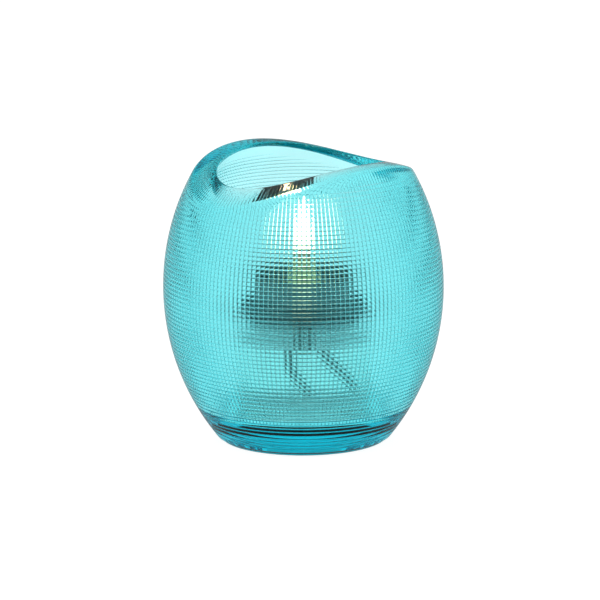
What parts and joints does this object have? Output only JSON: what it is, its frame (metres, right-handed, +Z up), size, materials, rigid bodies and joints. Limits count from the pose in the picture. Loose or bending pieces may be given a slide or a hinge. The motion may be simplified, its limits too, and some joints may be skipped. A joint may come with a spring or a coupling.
{
  "type": "glass jar lantern",
  "caption": "Thick turquoise glass jar lantern with a wavy rim, ribbed sides and a lift-out liquid-candle cell with a screw cap and twin wick.",
  "frame": {"origin": "centre of the foot, on the plane that the jar stands on", "axes": "+Z up the jar's axis, +X through the rim's two peaks, +Y through its two dips"},
  "size_m": [0.112, 0.112, 0.115],
  "materials": {
    "turquoise_glass": "clear pressed glass, ribbed outside and fluted inside, fire-polished rim",
    "clear_bottle": "clear moulded plastic",
    "lamp_oil": "clear colourless lamp oil",
    "dark_steel": "satin dark coating on pressed steel",
    "cap_steel": "dull turned steel",
    "brass": "satin, heat-tinted near the flame",
    "fibre": "matt pressed fibre",
    "white_seal": "matt",
    "wick_fibre": "braided glass fibre, soaked, charred at the tips"
  },
  "bodies": {
    "jar": {"glass_jar": "turquoise_glass"},
    "cell": {"fuel_bottle": "clear_bottle", "lamp_oil": "lamp_oil", "heat_shield": "dark_steel"},
    "seal": {"cap_liner": "white_seal"},
    "cap": {"screw_cap": "cap_steel", "upper_washer": "fibre", "lower_washer": "fibre", "wick_tube": "brass", "burner_cone": "brass", "burner_nut": "brass"},
    "wick": {"wick_left": "wick_fibre", "wick_right": "wick_fibre"}
  },
  "joints": [
    {"name": "cell_lift", "type": "slide", "parent": "jar", "child": "cell", "axis": [0, 0, 1], "range_m": [0, 0.11]},
    {"name": "cap_lift", "type": "slide", "parent": "cell", "child": "seal", "axis": [0, 0, 1], "range_m": [0, 0.00375], "deforming": ["lamp_oil"]},
    {"name": "cap_turn", "type": "hinge", "parent": "seal", "child": "cap", "pos_m": [0, 0, 0.06], "axis": [0, 0, 1], "range_deg": [0, 450], "deforming": ["lamp_oil"]},
    {"name": "wick_slide", "type": "slide", "parent": "cap", "child": "wick", "axis": [0, 0, 1], "range_m": [-0.002, 0.004], "deforming": ["lamp_oil"]}
  ],
  "couplings": [
    {"joint": "cap_lift", "follows": "cap_turn", "m_per_rad": 0.00047746}
  ]
}
